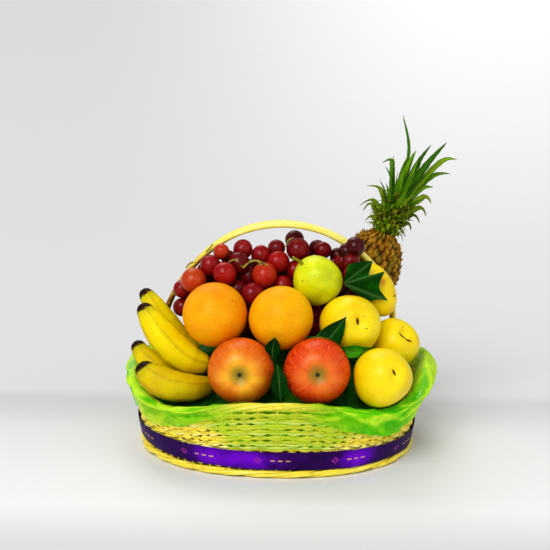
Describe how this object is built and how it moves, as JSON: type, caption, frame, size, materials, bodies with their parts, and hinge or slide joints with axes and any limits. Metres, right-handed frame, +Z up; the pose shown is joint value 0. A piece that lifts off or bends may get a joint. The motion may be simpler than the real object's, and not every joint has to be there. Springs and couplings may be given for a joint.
{
  "type": "fruit gift basket",
  "caption": "Oval cane basket with an arched handle, lime net and violet ribbon, heaped with oranges, apples, pears, bananas, grapes and a pineapple.",
  "frame": {"origin": "centre of the flat underside of the basket floor, on the plane it stands on", "axes": "+Z up; the front with the oranges and apples faces -Y; +X to the right seen from the front, towards the pineapple"},
  "size_m": [0.3928, 0.3013, 0.3792],
  "materials": {
    "cane": "yellow lacquered cane, satin",
    "cane_handle": "paler yellow cane, satin",
    "lime_net": "stiff see-through net, matt with bright folds",
    "violet_satin": "dark violet satin with a soft sheen",
    "orange_skin": "waxy finely pitted peel",
    "apple_skin": "waxed red skin with orange-yellow streaks",
    "yellow_pear_skin": "smooth yellow skin with small brown specks",
    "green_pear_skin": "smooth yellow-green skin with fine specks",
    "banana_skin": "yellow peel with brown-black tips and specks",
    "grape_skin": "dark red glossy skin with a thin bloom",
    "pineapple_rind": "rough golden brown rind",
    "pineapple_leaf": "tough green leaf, semi matt",
    "leaf_green": "smooth dark green leaf, half gloss"
  },
  "bodies": {
    "root": {"apple_left": "apple_skin", "apple_right": "apple_skin", "banana_lower_front": "banana_skin", "banana_lower_rear": "banana_skin", "banana_upper_front": "banana_skin", "banana_upper_rear": "banana_skin", "basket_body": "cane", "foot_braid": "cane", "grape_bunch": "grape_skin", "handle": "cane_handle", "leaf_centre": "leaf_green", "leaf_curved": "leaf_green", "leaf_lobed": "leaf_green", "leaf_low": "leaf_green", "leaf_pointed": "leaf_green", "net_bed": "lime_net", "net_skirt": "lime_net", "orange_left": "orange_skin", "orange_right": "orange_skin", "pear_front": "yellow_pear_skin", "pear_green": "green_pear_skin", "pear_middle": "yellow_pear_skin", "pear_rear": "yellow_pear_skin", "pear_side": "yellow_pear_skin", "pineapple": "pineapple_rind", "pineapple_crown": "pineapple_leaf", "ribbon": "violet_satin", "rim_braid": "cane"}
  },
  "joints": []
}
